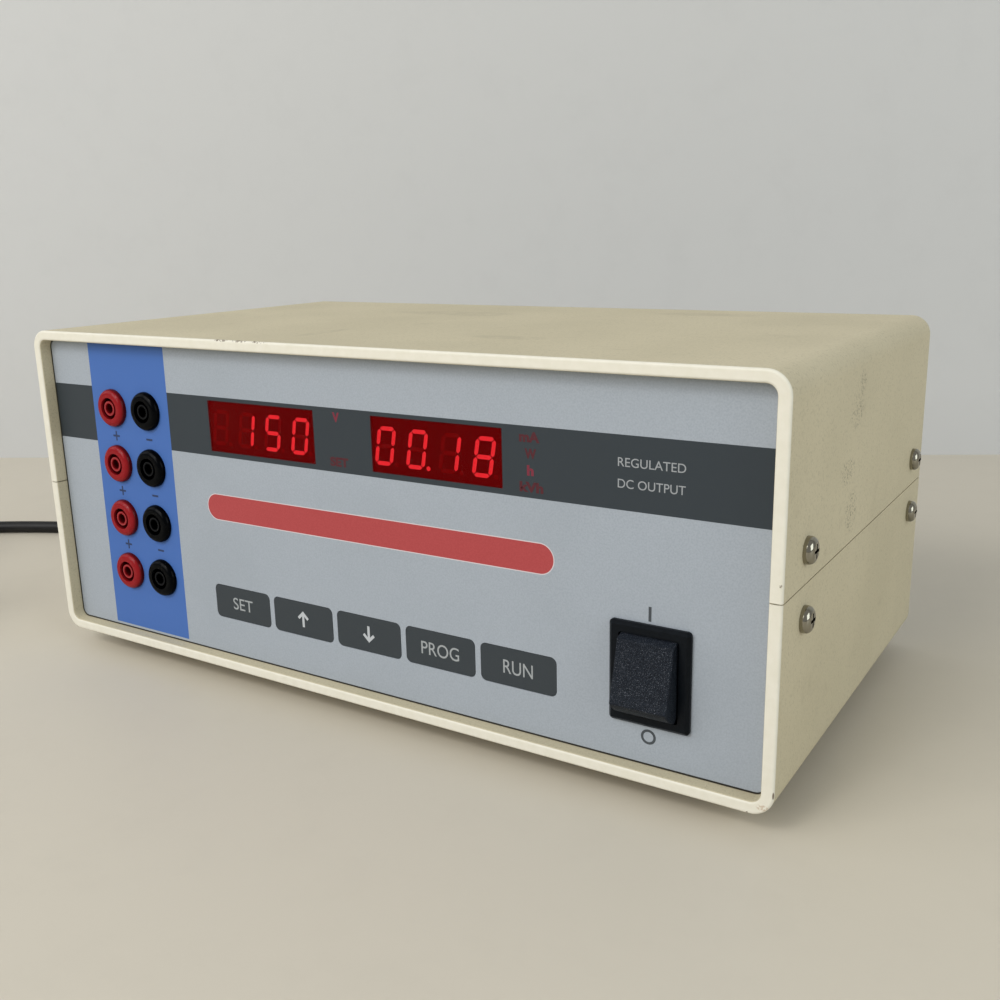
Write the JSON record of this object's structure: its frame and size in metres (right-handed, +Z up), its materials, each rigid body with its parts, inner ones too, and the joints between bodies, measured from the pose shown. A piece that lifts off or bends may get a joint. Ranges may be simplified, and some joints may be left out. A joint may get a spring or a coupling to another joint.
{
  "type": "electrophoresis power supply",
  "caption": "Bench power supply in a two-shell case with a recessed front panel: output sockets, red digital displays, flush keys, mains rocker, rear fan, fuse and coiled cord.",
  "frame": {"origin": "on the surface the feet stand on, under the middle of the case", "axes": "+X to the right seen from the front, +Y to the back, +Z up"},
  "size_m": [0.55, 0.304, 0.1315],
  "materials": {
    "case": "fine-textured beige grey, ivory at the front rim",
    "nickel_steel": "nickel plated",
    "zinc_steel": "zinc plated",
    "panel_metal": "satin",
    "overlay": "printed foil, blue grey with a dark band and a blue stripe",
    "red_filter": "clear dark red",
    "display_block": "dark",
    "lit_red": "glowing red",
    "dark_red": "unlit",
    "circuit_board": "solder mask",
    "spacer_plastic": "natural",
    "black_plastic": "satin",
    "rocker_plastic": "fine sparkle texture",
    "ribbon": "grey ribbed",
    "red_plastic": "smooth",
    "white_plastic": "natural",
    "contact_brass": "tinned brass",
    "lead_sleeve": "soft sleeve",
    "bright_wire": "plated wire",
    "fuse_glass": "clear with metal caps",
    "cord_rubber": "matt black",
    "tie_plastic": "flat tie",
    "lamination_steel": "varnished",
    "winding": "yellow tape over copper",
    "capacitor_sleeve": "shrunk sleeve",
    "black_aluminium": "black anodised",
    "foot_rubber": "matt",
    "key_plastic": "dark slate with light legends"
  },
  "bodies": {
    "case": {"top_shell": "case", "bottom_shell": "case", "side_screws": "nickel_steel", "panel_nuts": "zinc_steel", "front_panel": "panel_metal", "front_overlay": "overlay", "display_windows": "red_filter", "display_modules": "display_block", "lit_segments": "lit_red", "dark_segments": "dark_red", "legend_lamps": "display_block", "front_board": "circuit_board", "board_spacers": "spacer_plastic", "board_screws": "zinc_steel", "key_switches": "black_plastic", "control_chips": "black_plastic", "ribbon_cable": "ribbon", "red_sockets": "red_plastic", "black_sockets": "black_plastic", "socket_contacts": "contact_brass", "socket_nuts": "white_plastic", "output_leads": "lead_sleeve", "switch_housing": "black_plastic", "switch_terminals": "contact_brass", "rear_panel": "panel_metal", "fan_frame": "black_plastic", "fan_guard": "bright_wire", "fan_screws": "zinc_steel", "fuse_holder": "black_plastic", "strain_relief": "cord_rubber", "mains_cord": "cord_rubber", "cord_coil": "cord_rubber", "cord_tail": "cord_rubber", "cord_tie": "tie_plastic", "plug_body": "cord_rubber", "plug_pins": "bright_wire", "chassis_plate": "zinc_steel", "transformer_core": "lamination_steel", "transformer_winding": "winding", "transformer_strap": "zinc_steel", "transformer_bolts": "zinc_steel", "earth_stud": "contact_brass", "power_board": "circuit_board", "bulk_capacitors": "capacitor_sleeve", "heat_sink": "black_aluminium", "transistors": "black_plastic", "mains_leads": "lead_sleeve", "feet": "foot_rubber", "foot_screws": "zinc_steel", "foot_nuts": "zinc_steel"},
    "rocker": {"switch_rocker": "rocker_plastic"},
    "set_key": {"key_set": "key_plastic"},
    "up_key": {"key_up": "key_plastic"},
    "down_key": {"key_down": "key_plastic"},
    "prog_key": {"key_prog": "key_plastic"},
    "run_key": {"key_run": "key_plastic"},
    "rotor": {"fan_rotor": "black_plastic"},
    "fuse": {"fuse": "fuse_glass"},
    "fuse_cap": {"fuse_cap": "black_plastic"}
  },
  "joints": [
    {"name": "rocker_tilt", "type": "hinge", "parent": "case", "child": "rocker", "pos_m": [0.1132, -0.0767, 0.04], "axis": [1, 0, 0], "range_deg": [0, 30]},
    {"name": "set_press", "type": "slide", "parent": "case", "child": "set_key", "axis": [0, 1, 0], "range_m": [0, 0.0008], "stiffness_N_per_m": 800, "springref_m": -0.001},
    {"name": "up_press", "type": "slide", "parent": "case", "child": "up_key", "axis": [0, 1, 0], "range_m": [0, 0.0008], "stiffness_N_per_m": 800, "springref_m": -0.001},
    {"name": "down_press", "type": "slide", "parent": "case", "child": "down_key", "axis": [0, 1, 0], "range_m": [0, 0.0008], "stiffness_N_per_m": 800, "springref_m": -0.001},
    {"name": "prog_press", "type": "slide", "parent": "case", "child": "prog_key", "axis": [0, 1, 0], "range_m": [0, 0.0008], "stiffness_N_per_m": 800, "springref_m": -0.001},
    {"name": "run_press", "type": "slide", "parent": "case", "child": "run_key", "axis": [0, 1, 0], "range_m": [0, 0.0008], "stiffness_N_per_m": 800, "springref_m": -0.001},
    {"name": "fan_spin", "type": "hinge", "parent": "case", "child": "rotor", "pos_m": [0.08, 0.06, 0.075], "axis": [0, 1, 0], "continuous": true},
    {"name": "fuse_pull", "type": "slide", "parent": "case", "child": "fuse", "axis": [0, 1, 0], "range_m": [0, 0.03]},
    {"name": "fuse_cap_turn", "type": "hinge", "parent": "fuse", "child": "fuse_cap", "pos_m": [-0.015, 0.082, 0.045], "axis": [0, 1, 0], "range_deg": [0, 90]}
  ]
}
